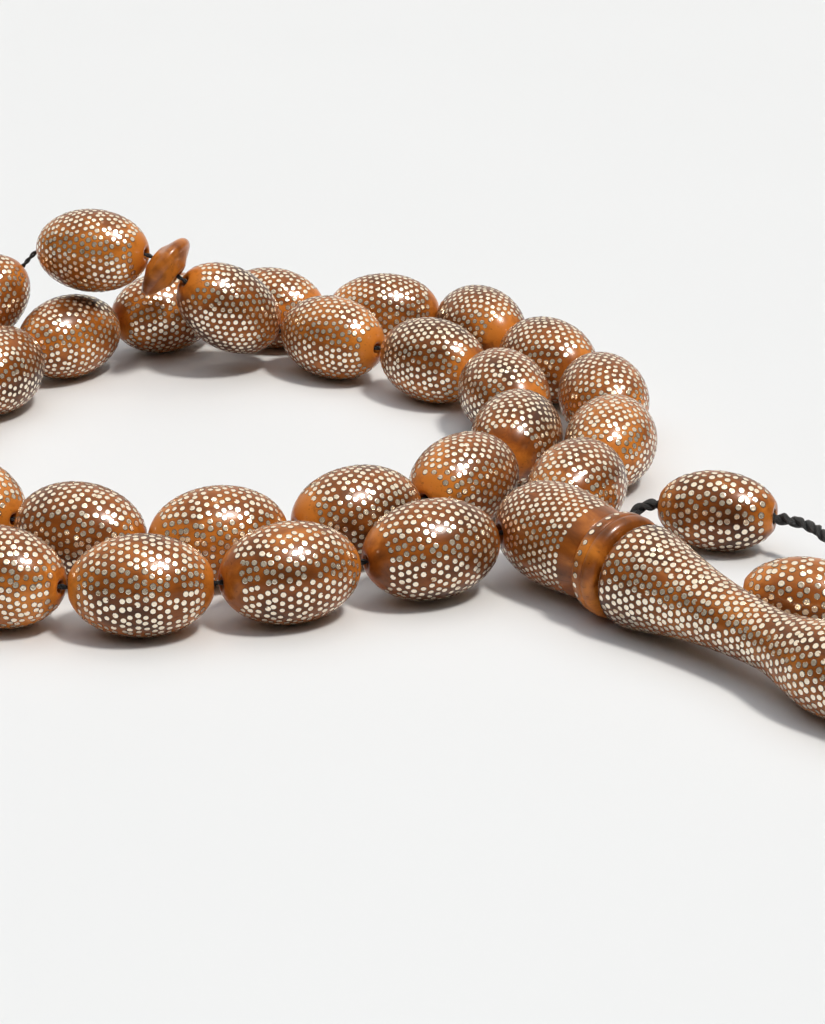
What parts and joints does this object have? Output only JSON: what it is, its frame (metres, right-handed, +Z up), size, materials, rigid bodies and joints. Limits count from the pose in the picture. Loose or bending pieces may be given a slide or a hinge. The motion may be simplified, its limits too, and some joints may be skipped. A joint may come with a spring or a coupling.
{
  "type": "misbaha prayer beads",
  "caption": "Looped strand of pin-inlaid egg-shaped wooden prayer beads with disc dividers, a turned leader and a corded tassel, laid in a loose two-turn coil.",
  "frame": {"origin": "middle of the strand's footprint, tassel left out, on the surface the beads lie on", "axes": "+Z up; +X to the right and +Y away, as seen from the side the leader points towards; the leader lies at front right"},
  "size_m": [0.136, 0.1271, 0.02],
  "materials": {
    "wood": "polished, set with small silver-coloured round pins",
    "cord": "matt twisted thread"
  },
  "bodies": {
    "strand": {"loop_string": "cord", "imam_head": "wood", "foot_knot": "cord", "tassel_cord_1": "cord", "tassel_cord_2": "cord", "tassel_knot_1": "cord", "tassel_knot_2": "cord"},
    "bead_01": {"bead_01": "wood"},
    "bead_02": {"bead_02": "wood"},
    "bead_03": {"bead_03": "wood"},
    "bead_04": {"bead_04": "wood"},
    "bead_05": {"bead_05": "wood"},
    "bead_06": {"bead_06": "wood"},
    "bead_07": {"bead_07": "wood"},
    "bead_08": {"bead_08": "wood"},
    "bead_09": {"bead_09": "wood"},
    "bead_10": {"bead_10": "wood"},
    "bead_11": {"bead_11": "wood"},
    "bead_12": {"bead_12": "wood"},
    "bead_13": {"bead_13": "wood"},
    "bead_14": {"bead_14": "wood"},
    "bead_15": {"bead_15": "wood"},
    "bead_16": {"bead_16": "wood"},
    "bead_17": {"bead_17": "wood"},
    "bead_18": {"bead_18": "wood"},
    "bead_19": {"bead_19": "wood"},
    "bead_20": {"bead_20": "wood"},
    "bead_21": {"bead_21": "wood"},
    "bead_22": {"bead_22": "wood"},
    "bead_23": {"bead_23": "wood"},
    "bead_24": {"bead_24": "wood"},
    "bead_25": {"bead_25": "wood"},
    "bead_26": {"bead_26": "wood"},
    "bead_27": {"bead_27": "wood"},
    "bead_28": {"bead_28": "wood"},
    "bead_29": {"bead_29": "wood"},
    "bead_30": {"bead_30": "wood"},
    "bead_31": {"bead_31": "wood"},
    "bead_32": {"bead_32": "wood"},
    "bead_33": {"bead_33": "wood"},
    "divider_1": {"divider_1": "wood"},
    "divider_2": {"divider_2": "wood"},
    "imam_collar": {"imam_collar": "wood"},
    "imam_body": {"imam_body": "wood"},
    "tassel_bead_1": {"tassel_bead_1": "wood"},
    "tassel_bead_2": {"tassel_bead_2": "wood"}
  },
  "joints": [
    {"name": "bead_01_spin", "type": "hinge", "parent": "strand", "child": "bead_01", "pos_m": [0.03014, -0.00445, 0.00523], "axis": [0.3795, 0.9246, -0.0318], "continuous": true},
    {"name": "bead_02_spin", "type": "hinge", "parent": "strand", "child": "bead_02", "pos_m": [0.03459, 0.00935, 0.005], "axis": [0.2329, 0.9725, 0], "continuous": true},
    {"name": "bead_03_spin", "type": "hinge", "parent": "strand", "child": "bead_03", "pos_m": [0.03474, 0.0236, 0.005], "axis": [-0.2119, 0.9773, 0], "continuous": true},
    {"name": "bead_04_spin", "type": "hinge", "parent": "strand", "child": "bead_04", "pos_m": [0.02904, 0.03675, 0.005], "axis": [-0.5689, 0.8224, 0], "continuous": true},
    {"name": "bead_05_spin", "type": "hinge", "parent": "strand", "child": "bead_05", "pos_m": [0.02139, 0.04915, 0.005], "axis": [-0.4798, 0.8774, 0], "continuous": true},
    {"name": "bead_06_spin", "type": "hinge", "parent": "strand", "child": "bead_06", "pos_m": [0.00934, 0.0545, 0.005], "axis": [-0.996, -0.0893, 0], "continuous": true},
    {"name": "bead_07_spin", "type": "hinge", "parent": "strand", "child": "bead_07", "pos_m": [-0.00461, 0.0569, 0.005], "axis": [-0.9101, 0.4143, 0], "continuous": true},
    {"name": "bead_08_spin", "type": "hinge", "parent": "strand", "child": "bead_08", "pos_m": [-0.01791, 0.0552, 0.005], "axis": [-0.8224, -0.5689, 0], "continuous": true},
    {"name": "bead_09_spin", "type": "hinge", "parent": "strand", "child": "bead_09", "pos_m": [-0.02866, 0.04555, 0.005], "axis": [-0.6536, -0.7568, 0], "continuous": true},
    {"name": "bead_10_spin", "type": "hinge", "parent": "strand", "child": "bead_10", "pos_m": [-0.03551, 0.03315, 0.005], "axis": [-0.2912, -0.9567, 0], "continuous": true},
    {"name": "bead_11_spin", "type": "hinge", "parent": "strand", "child": "bead_11", "pos_m": [-0.04131, 0.02005, 0.005], "axis": [-0.5125, -0.8587, 0], "continuous": true},
    {"name": "bead_12_spin", "type": "hinge", "parent": "strand", "child": "bead_12", "pos_m": [-0.04206, 0.0024, 0.005], "axis": [0.4499, -0.8931, 0], "continuous": true},
    {"name": "bead_13_spin", "type": "hinge", "parent": "strand", "child": "bead_13", "pos_m": [-0.03286, -0.0086, 0.005], "axis": [0.8025, -0.5967, 0], "continuous": true},
    {"name": "bead_14_spin", "type": "hinge", "parent": "strand", "child": "bead_14", "pos_m": [-0.02031, -0.0159, 0.005], "axis": [0.9152, -0.403, 0], "continuous": true},
    {"name": "bead_15_spin", "type": "hinge", "parent": "strand", "child": "bead_15", "pos_m": [-0.00641, -0.01685, 0.005], "axis": [0.9635, 0.2676, 0], "continuous": true},
    {"name": "bead_16_spin", "type": "hinge", "parent": "strand", "child": "bead_16", "pos_m": [0.00734, -0.01135, 0.005], "axis": [0.882, 0.4713, 0], "continuous": true},
    {"name": "bead_17_spin", "type": "hinge", "parent": "strand", "child": "bead_17", "pos_m": [0.01839, -0.002, 0.005], "axis": [0.6097, 0.7926, 0], "continuous": true},
    {"name": "bead_18_spin", "type": "hinge", "parent": "strand", "child": "bead_18", "pos_m": [0.02439, 0.011, 0.005], "axis": [0.2053, 0.9787, 0], "continuous": true},
    {"name": "bead_19_spin", "type": "hinge", "parent": "strand", "child": "bead_19", "pos_m": [0.02349, 0.0251, 0.005], "axis": [-0.3264, 0.9452, 0], "continuous": true},
    {"name": "bead_20_spin", "type": "hinge", "parent": "strand", "child": "bead_20", "pos_m": [0.01544, 0.0367, 0.005], "axis": [-0.7721, 0.6355, 0], "continuous": true},
    {"name": "bead_21_spin", "type": "hinge", "parent": "strand", "child": "bead_21", "pos_m": [0.00334, 0.0452, 0.005], "axis": [-0.7908, 0.612, 0], "continuous": true},
    {"name": "bead_22_spin", "type": "hinge", "parent": "strand", "child": "bead_22", "pos_m": [-0.00931, 0.04725, 0.00805], "axis": [-0.7392, -0.3148, 0.5954], "continuous": true},
    {"name": "bead_23_spin", "type": "hinge", "parent": "strand", "child": "bead_23", "pos_m": [-0.02566, 0.0482, 0.01505], "axis": [-0.96, 0.2792, -0.0204], "continuous": true},
    {"name": "bead_24_spin", "type": "hinge", "parent": "strand", "child": "bead_24", "pos_m": [-0.03966, 0.0463, 0.00905], "axis": [-0.7445, -0.444, -0.4986], "continuous": true},
    {"name": "bead_25_spin", "type": "hinge", "parent": "strand", "child": "bead_25", "pos_m": [-0.05021, 0.03775, 0.0052], "axis": [-0.6931, -0.7203, -0.0272], "continuous": true},
    {"name": "bead_26_spin", "type": "hinge", "parent": "strand", "child": "bead_26", "pos_m": [-0.05706, 0.0253, 0.005], "axis": [-0.2377, -0.9713, 0], "continuous": true},
    {"name": "bead_27_slide", "type": "slide", "parent": "strand", "child": "bead_27", "axis": [0.0345, -0.9994, 0], "range_m": [0, 0.012]},
    {"name": "bead_28_spin", "type": "hinge", "parent": "strand", "child": "bead_28", "pos_m": [-0.05278, -0.01445, 0.005], "axis": [0.6985, -0.7157, 0], "continuous": true},
    {"name": "bead_29_spin", "type": "hinge", "parent": "strand", "child": "bead_29", "pos_m": [-0.04081, -0.02205, 0.005], "axis": [0.9445, -0.3285, 0], "continuous": true},
    {"name": "bead_30_spin", "type": "hinge", "parent": "strand", "child": "bead_30", "pos_m": [-0.02706, -0.0271, 0.005], "axis": [0.9326, -0.3608, 0], "continuous": true},
    {"name": "bead_31_spin", "type": "hinge", "parent": "strand", "child": "bead_31", "pos_m": [-0.01296, -0.02925, 0.005], "axis": [0.9976, 0.0688, 0], "continuous": true},
    {"name": "bead_32_spin", "type": "hinge", "parent": "strand", "child": "bead_32", "pos_m": [0.00114, -0.0262, 0.005], "axis": [0.9372, 0.3489, 0], "continuous": true},
    {"name": "bead_33_spin", "type": "hinge", "parent": "strand", "child": "bead_33", "pos_m": [0.01484, -0.0209, 0.00523], "axis": [0.9276, 0.3724, 0.0312], "continuous": true},
    {"name": "divider_1_spin", "type": "hinge", "parent": "strand", "child": "divider_1", "pos_m": [-0.04521, 0.01145, 0.005], "axis": [-0.083, -0.9965, 0], "continuous": true},
    {"name": "divider_2_spin", "type": "hinge", "parent": "strand", "child": "divider_2", "pos_m": [-0.01666, 0.04555, 0.0138], "axis": [-0.7881, 0.2425, 0.5658], "continuous": true},
    {"name": "imam_collar_spin", "type": "hinge", "parent": "strand", "child": "imam_collar", "pos_m": [0.0331, -0.02522, 0.00533], "axis": [0.629, -0.7768, -0.0314], "continuous": true},
    {"name": "imam_body_spin", "type": "hinge", "parent": "strand", "child": "imam_body", "pos_m": [0.04694, -0.04231, 0.00464], "axis": [0.629, -0.7768, -0.0314], "continuous": true},
    {"name": "tassel_bead_1_spin", "type": "hinge", "parent": "strand", "child": "tassel_bead_1", "pos_m": [0.04443, -0.00828, 0.00415], "axis": [-0.9435, 0.3306, -0.0242], "continuous": true},
    {"name": "tassel_bead_2_spin", "type": "hinge", "parent": "strand", "child": "tassel_bead_2", "pos_m": [0.05053, -0.03078, 0.00415], "axis": [-0.9738, 0.2272, 0.0081], "continuous": true}
  ]
}
